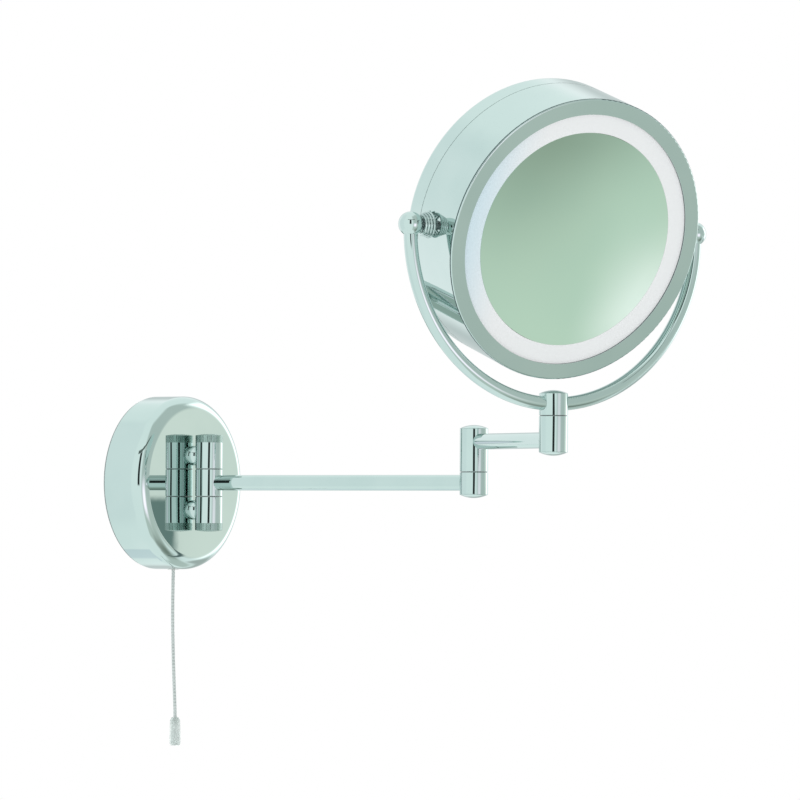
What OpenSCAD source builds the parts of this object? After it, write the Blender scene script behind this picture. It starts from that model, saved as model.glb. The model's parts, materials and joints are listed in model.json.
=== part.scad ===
// Extendable lit shaving mirror on a double hinged arm, with a pull-cord switch.
// The origin is the centre of the wall cover on the wall plane y = 0. The mirror
// reaches out along -Y, +X is to the right when facing the wall, and +Z is up.

/* [Wall base] */
// Outer diameter of the round wall cover
base_d = 126; // [118:1:150]
// Depth of the wall cover, from the wall to its flat front face
base_depth = 34.5; // [30:0.5:45]
// Radius of the rounded front edge of the wall cover
base_edge_r = 9.5; // [4:0.5:12]
// Wall thickness of the wall cover
cover_wall = 1.5; // [1:0.1:2]
// Thickness of the steel mounting plate
plate_t = 2; // [1.5:0.1:3]
// Thickness of the foam gasket under the cover's rim
gasket_t = 1.2; // [0.8:0.1:2]
// Distance between the two wall screws
screw_spacing = 92; // [84:1:100]
// Diameter of the two wall screw holes
screw_hole_d = 5.2; // [4:0.1:6]
// Bore of the grommet that the mains cable comes through
cable_bore_d = 8.6; // [6:0.1:10]

/* [Hinge posts] */
// Diameter of every hinge post
post_d = 20; // [17:0.5:24]
// Distance from the cover's face to the axis of the shoulder post
post_standoff = 13.7; // [12.5:0.1:20]
// Full height of the shoulder post with its caps
shoulder_h = 71; // [64:1:90]
// Height of the middle knuckle, which carries the long arm
middle_knuckle_h = 20; // [16:1:28]
// Height of each shoulder cap with its crown
shoulder_cap_h = 6; // [4:0.5:8]
// Height of the crown on every cap
crown_h = 1; // [0.5:0.1:2]
// Height of the domed caps on the elbow and wrist posts
dome_h = 2.6; // [1.5:0.1:4]
// Diameter of the hollow hinge pins
pin_d = 9; // [8:0.5:10]
// Bore of the hinge pins, which the lead runs through
pin_bore_d = 5.2; // [4.4:0.1:5.6]
// Thickness of the washers between the knuckles
washer_t = 0.4; // [0.3:0.1:1]

/* [Arms] */
// Outer diameter of the arm tubes
arm_d = 11.2; // [9:0.1:13]
// Wall thickness of the arm tubes
arm_wall = 1.2; // [0.8:0.1:2]
// Length of the long arm, from the shoulder axis to the elbow axis
long_arm = 234; // [160:1:320]
// Length of the short arm, from the elbow axis to the wrist axis
short_arm = 110; // [80:1:180]
// Height of the short arm above the long arm
link_rise = 29; // [28:0.5:36]

/* [Yoke] */
// Outer diameter of the yoke tube
yoke_d = 9.6; // [8:0.1:11]
// Wall thickness of the yoke tube
yoke_wall = 1.2; // [0.8:0.1:1.6]
// Distance from the side of the head to the centre line of the yoke tube
yoke_gap = 17; // [16:0.5:26]
// Height of the yoke tube's lowest point above the short arm
yoke_rise = 25; // [24.5:0.5:34]
// How far the centre of the yoke's half circle lies below the pivots
yoke_drop = 4; // [4:0.5:12]
// Diameter of the ball at each end of the yoke
ball_d = 17; // [15:0.5:18]
// Wire diameter of the conical pivot springs
pivot_wire_d = 1.6; // [1:0.1:1.8]

/* [Head] */
// Outer diameter of the mirror head
head_d = 200; // [160:1:240]
// Depth of the mirror head
head_depth = 61; // [50:1:73]
// Distance from the head's front to the axis that it tilts on
pivot_depth = 29; // [25:0.5:32]
// Width of the flat chrome bezel ring
bezel_w = 11; // [8:0.5:16]
// Width of the frosted light ring between the bezel and the glass
light_ring_w = 13.4; // [12:0.1:20]
// Wall thickness of the head's shells
head_wall = 1.5; // [1:0.1:2]
// Depth of the rear cover's side wall
rear_cover_depth = 16; // [10:0.5:19]
// Radius of the rear cover's rounded edge
rear_edge_r = 3; // [2:0.5:7]
// Thickness of the concave glass
glass_t = 3; // [2:0.5:4]
// Radius of the glass's concave curve, which sets its magnification
glass_curve_r = 560; // [450:10:1200]
// Number of light emitting diodes on the ring board
led_count = 24; // [12:1:36]

/* [Pull switch] */
// Diameter of the pull cord
cord_d = 2.4; // [1.5:0.1:3]
// Diameter of the knob at the end of the cord
knob_d = 8; // [7:0.1:12]
// Length of the knob
knob_l = 20.5; // [15:0.5:30]
// How far the cord pulls the switch down
pull_travel = 5; // [3:0.5:6]

/* [Rest pose] */
// Turn of the short arm from straight out, seen from above
link_turn = -25.5; // [-90:0.5:90]
// Turn of the mirror from straight out, seen from above
head_turn = -23; // [-90:0.5:90]
// Downward tilt of the mirror
head_tilt = 17.5; // [-60:0.5:60]

/* [Clearances] */
// Radial clearance of a pin in the bore that turns on it
run_gap = 0.05; // [0.02:0.01:0.08]
// Clearance between pieces that are fixed together
seat_gap = 0.05; // [0.03:0.01:0.1]
// Clearance between flat faces that turn on each other
face_gap = 0.1; // [0.05:0.05:0.2]

/* [Hidden] */
$fn = 64;
cut = 1;            // how far a cutting shape runs past the face it cuts
base_r = base_d / 2;
post_r = post_d / 2;
pin_r = pin_d / 2;
arm_r = arm_d / 2;
yoke_tube_r = yoke_d / 2;
ball_r = ball_d / 2;
head_r = head_d / 2;
cord_r = cord_d / 2;

// The leads inside the base, the arms and the yoke
lead_r = 1.3;
lead_hole_r = lead_r + 0.6;
lead_bend = 1.6;
lead_end_gap = 0.6; // between the leads of two bodies, on the axis that they share
lead_sides = 8;

// Inside of the wall base
base_inner_r = base_r - cover_wall;
base_inner_depth = base_depth - cover_wall;
gasket_w = 6;
plate_r = base_r - gasket_w - 1;
stub_r = 4.5;
stub_end = base_inner_depth - 9;    // depth at which the threaded stubs end
stub_z = (shoulder_h / 2 - shoulder_cap_h + middle_knuckle_h / 2) / 2;
strap_t = 2;
strap_w = 22;
strap_foot = 12;
nut_t = 4;
nut_r = 6.8;
nut_room = 0.2;                     // between a stub's nut and the strap's end
strap_h = 2 * (stub_z + nut_r * sin(60) + nut_room + strap_t);
base_screw_r = 2;
base_screw_head_r = 3.8;
base_screw_head_h = 2.2;
tab_angle = 50;                     // from level, at the right, to each cover screw
tab_w = 8;
tab_l = 10;
tab_h = 10;
tab_gap = 0.6;                      // between a tab and the cover's wall
tab_in_r = base_inner_r - tab_gap - tab_l;
tab_low = max(plate_t / 2, gasket_t + seat_gap);
tab_screw_depth = plate_t + tab_h / 2;
cover_screw_r = 2;
cover_screw_l = 10;
cable_x = 24;
grommet_r = 7;
grommet_flange_r = 8.6;
grommet_flange_t = 2;
grommet_nose = 6;
terminal = [24, 14, 16];            // width, depth from the plate, height
terminal_x = -26;
driver = [34, 20, 23.5];
driver_z = strap_h / 2 + 2.5;
driver_ear = 8;
driver_ear_h = 8;
driver_ear_t = 2;

// The cord's route, from the switch plunger through the cover to inside the knob
cord_route = [
    [0, -16, -55], [0, -16, -60], [0, -16, -66], [0, -15.9, -72], [0, -15.8, -78],
    [0, -15.7, -84], [0, -15.7, -90], [0, -15.7, -96], [0, -15.8, -102], [0, -15.9, -108],
    [0, -16.1, -114], [0, -16.3, -120], [0, -16.5, -126], [0, -16.7, -132], [0, -17, -138],
    [0, -17.3, -144], [0, -17.6, -150], [0, -17.9, -156], [0, -18.2, -162], [0, -18.4, -167],
    [0, -18.5, -171], [0, -18.5, -175]
];
cord_sides = 8;
knob_top = -171;
knob_shoulder = 2.2;                // height and inset of the knob's upper chamfer
knob_shoulder_in = 1.6;
knob_foot = 1.6;                    // height and inset of the knob's lower chamfer
knob_foot_in = 0.8;
knob_taper = 0.3;                   // how much narrower the knob is at its shoulder
knob_bore_l = 5;
cord_room = 0.3;                    // around the cord in the knob's bore
knob_y = cord_route[len(cord_route) - 1].y;

// Pull switch, on the vertical line that the cord leaves by
cord_y = cord_route[0].y;
plunger_end = cord_route[0].z;
switch_w = 26;
switch_depth = 25;
switch_top = -strap_h / 2 - 3;
switch_wall = 3;
chamber_r = 6;
plunger_r = 2;
flange_r = 5;
flange_h = 3;
flange_gap = 2;                     // above the plunger's flange, where the contacts are
flange_z = switch_top - switch_wall - flange_gap - flange_h;
switch_wire_d = 0.8;
switch_turns = 6;
spring_spare = 4.4;                 // free length left in the spring at full travel
chamber_floor = flange_z - pull_travel - (switch_turns + 1) * switch_wire_d - spring_spare;
switch_floor = chamber_floor - switch_wall;
switch_h = switch_top - switch_floor;
bush_r = 4;
bush_flange_r = 5.5;
bush_flange_t = 1.2;
bush_bore_r = cord_r + 2 * cord_room;
bush_lip = 0.3;

// Hinge axes
shoulder_y = -(base_depth + post_standoff);
elbow_y = shoulder_y - long_arm;
elbow_at = [0, elbow_y];
wrist_at = elbow_at + short_arm * [sin(link_turn), -cos(link_turn)];
yoke_r = head_r + yoke_gap;
yoke_z = link_rise + yoke_rise;
arc_z = yoke_z + yoke_r;            // centre of the yoke's half circle
pivot_z = arc_z + yoke_drop;

// Heights on the posts
seam = washer_t + 2 * face_gap;     // open height between two knuckles
knuckle_top = shoulder_h / 2 - shoulder_cap_h;
pin_half = knuckle_top - 5;
spigot_r = pin_r - 0.1;
spigot_l = 3;
barrel_reach = 9.2;                 // from the short arm's axis up to the elbow post's top
barrel_foot = 8.2;                  // from an arm's axis down to the foot of its post
elbow_seam_z = 7.6;
elbow_bottom = -barrel_foot;
elbow_top = link_rise + barrel_reach;
wrist_bottom = link_rise - barrel_foot;
wrist_seam_z = yoke_z - yoke_tube_r - 3.3;
wrist_top = yoke_z + yoke_tube_r + 2.2;
cavity_r = post_r - 2.5;
cavity_depth = elbow_top - elbow_seam_z - 10;
hinge_nut_r = 6.2;
hinge_nut_t = 3.5;
hinge_nut_gap = 0.5;                // left for the spring load between nut and knuckle
elbow_pin_top = elbow_top - cavity_depth + hinge_nut_gap + hinge_nut_t;
elbow_lead_top = elbow_pin_top - 1;
arm_lead_top = 2;                   // where the long arm's lead ends in the shoulder pin
wrist_cavity_top = wrist_seam_z - 8;
wrist_pin_low = wrist_cavity_top - hinge_nut_gap - hinge_nut_t;
wrist_pin_top = yoke_z - yoke_tube_r - 0.4;

// Pivots of the head, measured along the tilt axis from the head's centre
stud_r = 3.5;
stud_bore_r = 1.9;
ball_room_r = 3.4;
stud_out = yoke_r - ball_room_r;
boss_r = 7.5;
boss_in = head_r - 10;
pivot_washer_t = 0.8;
pivot_nut_r = 7;
pivot_nut_t = 4;
stud_in = boss_in - pivot_washer_t - pivot_nut_t - 1;
spring_out = yoke_r - ball_r + 1.2;
spring_in = head_r + 0.6;
spring_turns = 4;
spring_small_r = 6.6;
spring_large_r = 8.9;
tube_end_drop = stud_r + 0.1;       // from the pivot's axis down to the ends of the yoke tube

// Depths in the head, measured back from its front
head_front = -pivot_depth;
head_back = head_front + head_depth;
bezel_t = 1.5;
bezel_edge_r = 1.1;
skirt_l = 5;
skirt_t = 1.2;
casing_front = head_front + bezel_t + 0.15;
casing_back = head_back - rear_cover_depth;
seal_t = 0.4;
seal_inset = 0.4;
head_inner_r = head_r - head_wall;
light_r = head_r - bezel_w;
glass_r = light_r - light_ring_w;
front_gasket = 0.2;
diffuser_front = head_front + bezel_t + front_gasket;
diffuser_t = 2;
diffuser_r = head_inner_r - skirt_t - 0.8;
glass_sag = glass_curve_r - sqrt(pow(glass_curve_r, 2) - pow(glass_r, 2));
glass_gap = 0.25;
carrier_t = 2;
carrier_back = -boss_r - 2.8;
carrier_front = carrier_back - carrier_t;
carrier_r = head_inner_r - 4.5;
carrier_ring_r = glass_r - 1.5;
carrier_ring_t = 4;
pad_r = carrier_ring_r;
pad_t = 1;
pad_seat = glass_sag - glass_curve_r
    + sqrt(pow(glass_curve_r, 2) - pow(pad_r - carrier_ring_t, 2));
pad_back = diffuser_front + glass_t + pad_seat + seat_gap + pad_t;
board_t = 1.6;
board_in_r = glass_r + 1.4;
board_out_r = board_in_r + light_ring_w - 3;
led_r = (board_in_r + board_out_r) / 2;
led = [3, 2.8, 1.2];
shelf_t = 2;
shelf_w = 9;
post_ring_r = head_inner_r - 10;
rear_post_r = 3.5;
rear_screw_r = 1.5;
rear_screw_l = 8;
rear_screw_head_r = 3;
rear_screw_head_h = 1.6;
rear_posts = [45, 135, 225, 315];

// ---- Places ----

// Children's +Z points out from the wall and their +Y points up
module from_wall(depth = 0) {
    translate([0, -depth, 0]) rotate([90, 0, 0]) children();
}

// Children's +X points from the base's centre towards an angle in the wall plane
module around_base(angle, depth) {
    from_wall(depth) rotate([0, 0, angle]) children();
}

module at_shoulder() {
    translate([0, shoulder_y, 0]) children();
}

module at_elbow() {
    translate([0, elbow_y, 0]) children();
}

// On the elbow axis, with -Y along the short arm
module along_link() {
    translate([elbow_at.x, elbow_at.y, 0]) rotate([0, 0, link_turn]) children();
}

// On the wrist axis, with -Y along the short arm
module at_link_end() {
    translate([wrist_at.x, wrist_at.y, 0]) rotate([0, 0, link_turn]) children();
}

// On the wrist axis, with X along the tilt axis
module at_wrist() {
    translate([wrist_at.x, wrist_at.y, 0]) rotate([0, 0, head_turn]) children();
}

// At the pivot's centre with X along the tilt axis, not tilted
module at_pivot() {
    at_wrist() translate([0, 0, pivot_z]) children();
}

// At the head's centre, with -Y out through the glass
module in_head() {
    at_pivot() rotate([head_tilt, 0, 0]) children();
}

// Revolves a half section given as [radius, y] about the head's axis
module head_ring() {
    rotate([-90, 0, 0]) rotate_extrude() children();
}

// ---- Shapes that repeat ----

module tube(r, bore_r, h) {
    difference() {
        cylinder(r = r, h = h);
        translate([0, 0, -cut]) cylinder(r = bore_r, h = h + 2 * cut);
    }
}

// Half section of a disc whose far edge is rounded
module rounded_section(r, h, edge) {
    intersection() {
        square([r, h]);
        union() {
            square([r - edge, h]);
            square([r, h - edge]);
            translate([r - edge, h - edge]) circle(edge);
        }
    }
}

// Low cap: a straight rim under a crown that is part of a sphere
module crowned(r, h, crown) {
    sphere_r = (r * r + crown * crown) / (2 * crown);
    intersection() {
        cylinder(r = r, h = h);
        translate([0, 0, h - sphere_r]) sphere(sphere_r, $fn = 128);
    }
}

// Cap with a plug that sits in the bore under it
module cap(r, h, crown, plug_r, plug_l) {
    union() {
        crowned(r, h, crown);
        translate([0, 0, -plug_l]) cylinder(r = plug_r, h = plug_l + 0.5);
    }
}

module hex_nut(r, h, bore_r) {
    difference() {
        cylinder(r = r, h = h, $fn = 6);
        translate([0, 0, -cut]) cylinder(r = bore_r, h = h + 2 * cut);
    }
}

// Pan head screw: the head is above z = 0 and the shank below
module pan_screw(r, l, head_r, head_h) {
    slot_w = 0.8;
    difference() {
        union() {
            translate([0, 0, -l]) cylinder(r = r, h = l);
            cylinder(r = head_r, h = head_h);
        }
        translate([-head_r, -slot_w / 2, head_h - 0.8]) cube([2 * head_r, slot_w, 2]);
    }
}

function unit(v) = v / norm(v);
function heading(path, i) = unit(path[min(i + 1, len(path) - 1)] - path[max(i - 1, 0)]);
function square_to(v, along) = unit(v - (v * along) * along);

// A path with its corners rounded, each by a curve that starts a length r before it
function rounded_path(path, r) = concat(
    [path[0]],
    [for (i = [1:len(path) - 2])
        let (back = unit(path[i - 1] - path[i]), on = unit(path[i + 1] - path[i]))
        for (t = [0:0.25:1]) path[i] + pow(1 - t, 2) * r * back + pow(t, 2) * r * on],
    [path[len(path) - 1]]
);

// Round tube swept along a path, with one ring of points at each of the path's points
module sweep(path, r, sides) {
    count = len(path);
    along = [for (i = [0:count - 1]) heading(path, i)];
    seed = abs(along[0].z) > 0.9 ? [1, 0, 0] : [0, 0, 1];
    side = [for (i = 0, v = square_to(seed, along[0]); i < count;
        i = i + 1, v = square_to(v, along[min(i, count - 1)])) v];
    points = [for (i = [0:count - 1]) for (k = [0:sides - 1])
        path[i] + r * cos(360 * k / sides) * side[i]
                + r * sin(360 * k / sides) * cross(along[i], side[i])];
    walls = [for (i = [0:count - 2]) for (k = [0:sides - 1])
        let (next = (k + 1) % sides)
        [i * sides + k, (i + 1) * sides + k, (i + 1) * sides + next, i * sides + next]];
    ends = [[for (k = [0:sides - 1]) k],
            [for (k = [sides - 1:-1:0]) (count - 1) * sides + k]];
    polyhedron(points = points, faces = concat(walls, ends));
}

module lead(path) {
    sweep(rounded_path(path, lead_bend), lead_r, lead_sides);
}

function coil(turns, length, r_start, r_end, steps) = [
    for (i = [0:turns * steps])
        let (t = i / (turns * steps), r = r_start + (r_end - r_start) * t)
        [r * cos(360 * i / steps), r * sin(360 * i / steps), length * t]
];

// Half circle of the yoke, as a rod of radius r, seen from the wrist axis
module yoke_arc(r) {
    translate([0, 0, arc_z]) rotate([90, 0, 0]) rotate([0, 0, 180])
        rotate_extrude(angle = 180) translate([yoke_r, 0]) circle(r);
}

// The yoke's half circle with its straight ends, which run past the tube's ends
module yoke_rod(r, past) {
    union() {
        yoke_arc(r);
        for (s = [-1, 1]) translate([s * yoke_r, 0, arc_z])
            cylinder(r = r, h = yoke_drop - tube_end_drop + past);
    }
}

// ---- Wall base ----

module mounting_plate() color("gainsboro") {
    difference() {
        union() {
            from_wall() cylinder(r = plate_r, h = plate_t);
            for (s = [-1, 1]) {
                around_base(s * tab_angle, plate_t / 2) translate([tab_in_r, -tab_w / 2, 0])
                    cube([plate_r - tab_in_r, tab_w, tab_h + plate_t / 2]);
                around_base(s * tab_angle, tab_low) translate([tab_in_r, -tab_w / 2, 0])
                    cube([tab_l, tab_w, tab_h + plate_t - tab_low]);
            }
        }
        for (x = [-1, 1]) translate([x * screw_spacing / 2, 0, 0])
            from_wall(-cut) cylinder(d = screw_hole_d, h = plate_t + 2 * cut);
        translate([cable_x, 0, 0])
            from_wall(-cut) cylinder(r = grommet_r + seat_gap, h = plate_t + 2 * cut);
        base_screw_places() translate([0, 0, -cut - plate_t])
            cylinder(r = base_screw_r + seat_gap, h = plate_t + 2 * cut);
        for (s = [-1, 1]) cover_screw_place(s)
            cylinder(r = cover_screw_r + seat_gap, h = 3 * cover_screw_l, center = true);
    }
}

// On the front of the mounting plate at each base screw
module base_screw_places() {
    for (s = [-1, 1]) {
        translate([0, 0, s * (strap_h / 2 - strap_t - strap_foot / 2)])
            from_wall(plate_t) children();
        translate([s * (driver.x + driver_ear) / 2, 0, driver_z + driver.z / 2])
            from_wall(plate_t) children();
    }
}

// At the outside of the cover, with +Z along a cover screw's axis, outward
module cover_screw_place(s) {
    around_base(s * tab_angle, tab_screw_depth)
        translate([base_r, 0, 0]) rotate([0, 90, 0]) children();
}

module wall_gasket() color("dimgray") {
    from_wall() tube(base_r - 0.4, base_r - gasket_w, gasket_t);
}

module wall_cover() color("lightcyan") {
    depth = base_depth - gasket_t;
    difference() {
        from_wall(gasket_t) rotate_extrude() difference() {
            rounded_section(base_r, depth, base_edge_r);
            translate([0, -cut])
                rounded_section(base_inner_r, depth - cover_wall + cut, base_edge_r - cover_wall);
        }
        for (s = [-1, 1]) translate([0, 0, s * stub_z])
            from_wall(base_depth / 2) cylinder(r = stub_r + seat_gap, h = base_depth);
        translate([0, cord_y, -base_r - cut])
            cylinder(r = bush_r + seat_gap, h = base_r / 2);
        for (s = [-1, 1]) cover_screw_place(s)
            cylinder(r = cover_screw_r + seat_gap, h = 3 * cover_wall, center = true);
    }
}

module cover_screws() color("silver") {
    for (s = [-1, 1]) cover_screw_place(s) difference() {
        translate([0, 0, 0.2 - cover_screw_l]) cylinder(r = cover_screw_r, h = cover_screw_l);
        translate([0, 0, -1]) cylinder(r = 1.1, h = 2, $fn = 6);
    }
}

module arm_strap() color("gainsboro") {
    front = base_inner_depth - seat_gap;
    difference() {
        union() {
            translate([-strap_w / 2, -front, -strap_h / 2]) cube([strap_w, strap_t, strap_h]);
            for (s = [0, 1]) mirror([0, 0, s]) {
                translate([-strap_w / 2, -front, strap_h / 2 - strap_t])
                    cube([strap_w, front - plate_t, strap_t]);
                translate([-strap_w / 2, -plate_t - strap_t, strap_h / 2 - strap_t - strap_foot])
                    cube([strap_w, strap_t, strap_foot + strap_t / 2]);
            }
        }
        for (s = [-1, 1]) translate([0, 0, s * stub_z])
            from_wall(base_depth / 2) cylinder(r = stub_r + seat_gap, h = base_depth);
        base_screw_places()
            cylinder(r = base_screw_r + seat_gap, h = 3 * strap_t, center = true);
    }
}

module base_screws() color("silver") {
    base_screw_places() translate([0, 0, max(strap_t, driver_ear_t)])
        pan_screw(base_screw_r, max(strap_t, driver_ear_t) + plate_t - 0.3,
            base_screw_head_r, base_screw_head_h);
}

module cable_grommet() color("dimgray") {
    translate([cable_x, 0, 0]) difference() {
        union() {
            from_wall() cylinder(r = grommet_r, h = grommet_nose);
            from_wall(plate_t) cylinder(r = grommet_flange_r, h = grommet_flange_t);
        }
        from_wall(-cut) cylinder(d = cable_bore_d, h = grommet_nose + 2 * cut);
    }
}

module terminal_block() color("whitesmoke") {
    difference() {
        translate([terminal_x - terminal.x / 2, -plate_t - terminal.y, -terminal.z / 2])
            cube(terminal);
        terminal_places() translate([0, 0, -3.5]) cylinder(r = 1.8, h = 4);
    }
}

// On the front of the terminal block at each clamp
module terminal_places() {
    for (i = [-1:1]) translate([terminal_x + i * terminal.x / 3, 0, 0])
        from_wall(plate_t + terminal.y) children();
}

module terminal_screws() color("goldenrod") {
    terminal_places() translate([0, 0, -1.6]) pan_screw(1, 1.6, 1.6, 0.9);
}

module led_driver() color("whitesmoke") {
    difference() {
        union() {
            translate([-driver.x / 2, -plate_t - driver.y, driver_z]) cube(driver);
            translate([-driver.x / 2 - driver_ear, -plate_t - driver_ear_t,
                    driver_z + (driver.z - driver_ear_h) / 2])
                cube([driver.x + 2 * driver_ear, driver_ear_t, driver_ear_h]);
        }
        base_screw_places()
            cylinder(r = base_screw_r + seat_gap, h = 3 * driver_ear_t, center = true);
    }
}

// Leads inside the base: terminals to driver, switch to terminals, driver to arm
module base_wiring() color("white") {
    clamp_depth = plate_t + terminal.y / 2;
    arm_lead_x = strap_w / 2 + 3;
    lead([[terminal_x, -clamp_depth, terminal.z / 2], [terminal_x, -clamp_depth, driver_z + 18],
        [-driver.x / 2, -clamp_depth, driver_z + 18]]);
    lead([[-switch_w / 2, cord_y, switch_top - 10], [terminal_x, cord_y, switch_top - 10],
        [terminal_x, -clamp_depth, -terminal.z / 2 - 6], [terminal_x, -clamp_depth, -terminal.z / 2]]);
    lead([[arm_lead_x, cord_y, driver_z], [arm_lead_x, cord_y, stub_z], [0, cord_y, stub_z],
        [0, shoulder_y, stub_z], [0, shoulder_y, arm_lead_top + lead_end_gap]]);
}

module switch_housing() color("white") {
    difference() {
        translate([-switch_w / 2, -switch_depth, switch_floor])
            cube([switch_w, switch_depth - plate_t, switch_h]);
        translate([0, cord_y, chamber_floor])
            cylinder(r = chamber_r, h = switch_h - 2 * switch_wall);
        translate([0, cord_y, switch_floor - cut])
            cylinder(r = plunger_r + run_gap, h = switch_wall + 2 * cut);
    }
}

module switch_spring() color("silver") {
    wire_r = switch_wire_d / 2;
    translate([0, cord_y, chamber_floor + wire_r])
        sweep(coil(switch_turns, flange_z - chamber_floor - switch_wire_d,
            flange_r - 1, flange_r - 1, 14), wire_r, 6);
}

module cord_bush() color("white") {
    flange_low = -base_inner_r + pow(bush_flange_r, 2) / (2 * base_inner_r) + seat_gap;
    translate([0, cord_y, 0]) difference() {
        union() {
            translate([0, 0, -base_r - bush_lip])
                cylinder(r = bush_r, h = bush_lip + base_r + flange_low + bush_flange_t);
            translate([0, 0, flange_low]) cylinder(r = bush_flange_r, h = bush_flange_t);
        }
        translate([0, 0, -base_r - 2]) cylinder(r = bush_bore_r, h = 8);
    }
}

module shoulder_knuckles() color("lightcyan") {
    low = middle_knuckle_h / 2 + seam / 2;
    for (s = [0, 1]) mirror([0, 0, s]) difference() {
        union() {
            at_shoulder() translate([0, 0, low]) cylinder(r = post_r, h = knuckle_top - low);
            translate([0, 0, stub_z]) from_wall(stub_end)
                cylinder(r = stub_r, h = -shoulder_y - stub_end - pin_r / 2);
        }
        at_shoulder() cylinder(r = pin_r + seat_gap, h = knuckle_top + cut);
        translate([0, 0, stub_z]) from_wall(stub_end - cut)
            cylinder(r = lead_hole_r, h = -shoulder_y - stub_end + cut);
    }
}

// Round beads that close the stubs' holes in the cover and back the knuckles
module stub_collars() color("lightcyan") {
    bead_r = min(7.2, middle_knuckle_h / 2);
    for (s = [-1, 1]) difference() {
        translate([0, 0, s * stub_z]) intersection() {
            translate([0, -base_depth, 0]) sphere(bead_r);
            from_wall(base_depth) cylinder(r = bead_r + 1, h = bead_r + 1);
        }
        at_shoulder() translate([0, 0, -shoulder_h])
            cylinder(r = post_r + seat_gap, h = 2 * shoulder_h);
        translate([0, 0, s * stub_z]) from_wall(base_depth - cut)
            cylinder(r = stub_r + seat_gap, h = post_standoff);
    }
}

module stub_nuts() color("silver") {
    for (s = [-1, 1]) translate([0, 0, s * stub_z])
        from_wall(base_inner_depth - seat_gap - strap_t - nut_t)
            hex_nut(nut_r, nut_t, stub_r + seat_gap);
}

// Hollow pin with a window for the arm's lead and a hole for the base's
module shoulder_pin() color("silver") {
    window_h = 2 * lead_hole_r + 2;
    at_shoulder() difference() {
        translate([0, 0, -pin_half]) tube(pin_r, pin_bore_d / 2, 2 * pin_half);
        translate([-post_r, -post_r, -window_h / 2])
            cube([2 * post_r, post_r + lead_hole_r, window_h]);
        translate([0, 0, stub_z]) rotate([-90, 0, 0]) cylinder(r = lead_hole_r, h = post_r);
    }
}

module shoulder_caps() color("lightcyan") {
    for (s = [0, 1]) mirror([0, 0, s]) at_shoulder() translate([0, 0, knuckle_top])
        cap(post_r, shoulder_cap_h, crown_h, spigot_r, spigot_l);
}

// ---- Pull cord ----

module switch_plunger() color("white") {
    translate([0, cord_y, 0]) union() {
        translate([0, 0, plunger_end]) cylinder(r = plunger_r, h = flange_z - plunger_end + 1);
        translate([0, 0, flange_z]) cylinder(r = flange_r, h = flange_h);
    }
}

module pull_cord() color("white") {
    sweep(cord_route, cord_r, cord_sides);
}

// Clear knob that widens a little from its shoulder down to its foot
module pull_knob() color("azure") {
    r = knob_d / 2;
    translate([0, knob_y, knob_top - knob_l]) difference() {
        rotate_extrude() polygon([
            [0, 0], [r - knob_foot_in, 0], [r, knob_foot],
            [r - knob_taper, knob_l - knob_shoulder], [r - knob_shoulder_in, knob_l], [0, knob_l]
        ]);
        translate([0, 0, knob_l - knob_bore_l])
            cylinder(r = cord_r + cord_room, h = knob_bore_l + cut);
    }
}

// ---- Long arm ----

module shoulder_barrel() color("lightcyan") {
    h = middle_knuckle_h - seam;
    at_shoulder() difference() {
        translate([0, 0, -h / 2]) tube(post_r, pin_r + run_gap, h);
        rotate([90, 0, 0]) cylinder(r = lead_hole_r, h = post_r + cut);
    }
}

module shoulder_washers() color("dimgray") {
    for (s = [-1, 1]) at_shoulder() translate([0, 0, s * middle_knuckle_h / 2 - washer_t / 2])
        tube(post_r - 0.6, pin_r + 0.3, washer_t);
}

// Arm tube along -Y between two posts, coped to fit round both
module coped_tube(length, r, wall) {
    difference() {
        rotate([90, 0, 0]) tube(r, r - wall, length);
        for (y = [0, -length]) translate([0, y, -2 * r])
            cylinder(r = post_r + seat_gap, h = 4 * r);
    }
}

module long_arm_tube() color("lightcyan") {
    at_shoulder() coped_tube(long_arm, arm_r, arm_wall);
}

module elbow_lower_barrel() color("lightcyan") {
    top = elbow_seam_z - seam / 2;
    at_elbow() difference() {
        translate([0, 0, elbow_bottom]) tube(post_r, pin_r + seat_gap, top - elbow_bottom);
        rotate([-90, 0, 0]) cylinder(r = lead_hole_r, h = post_r + cut);
    }
}

module elbow_cap_bottom() color("lightcyan") {
    at_elbow() translate([0, 0, elbow_bottom]) mirror([0, 0, 1])
        cap(post_r, dome_h, dome_h - 0.2, spigot_r, spigot_l);
}

module elbow_pin() color("silver") {
    low = elbow_bottom + spigot_l + 0.2;
    at_elbow() difference() {
        translate([0, 0, low]) tube(pin_r, pin_bore_d / 2, elbow_pin_top - low);
        rotate([-90, 0, 0]) cylinder(r = lead_hole_r, h = post_r);
    }
}

module elbow_nut() color("silver") {
    at_elbow() translate([0, 0, elbow_pin_top - hinge_nut_t])
        hex_nut(hinge_nut_r, hinge_nut_t, pin_r + seat_gap);
}

module long_arm_lead() color("white") {
    lead([[0, shoulder_y, arm_lead_top], [0, shoulder_y, 0], [0, elbow_y, 0],
        [0, elbow_y, elbow_lead_top]]);
}

// ---- Short arm ----

module elbow_upper_barrel() color("lightcyan") {
    low = elbow_seam_z + seam / 2;
    along_link() difference() {
        translate([0, 0, low]) tube(post_r, pin_r + run_gap, elbow_top - low);
        translate([0, 0, elbow_top - cavity_depth]) cylinder(r = cavity_r, h = cavity_depth + cut);
        translate([0, 0, link_rise]) rotate([90, 0, 0]) cylinder(r = lead_hole_r, h = post_r + cut);
    }
}

module elbow_cap_top() color("lightcyan") {
    along_link() translate([0, 0, elbow_top])
        cap(post_r, dome_h, dome_h - 0.2, cavity_r - 0.1, spigot_l);
}

module elbow_washer() color("dimgray") {
    along_link() translate([0, 0, elbow_seam_z - washer_t / 2])
        tube(post_r - 0.6, pin_r + 0.3, washer_t);
}

module short_arm_tube() color("lightcyan") {
    along_link() translate([0, 0, link_rise]) coped_tube(short_arm, arm_r, arm_wall);
}

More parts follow.
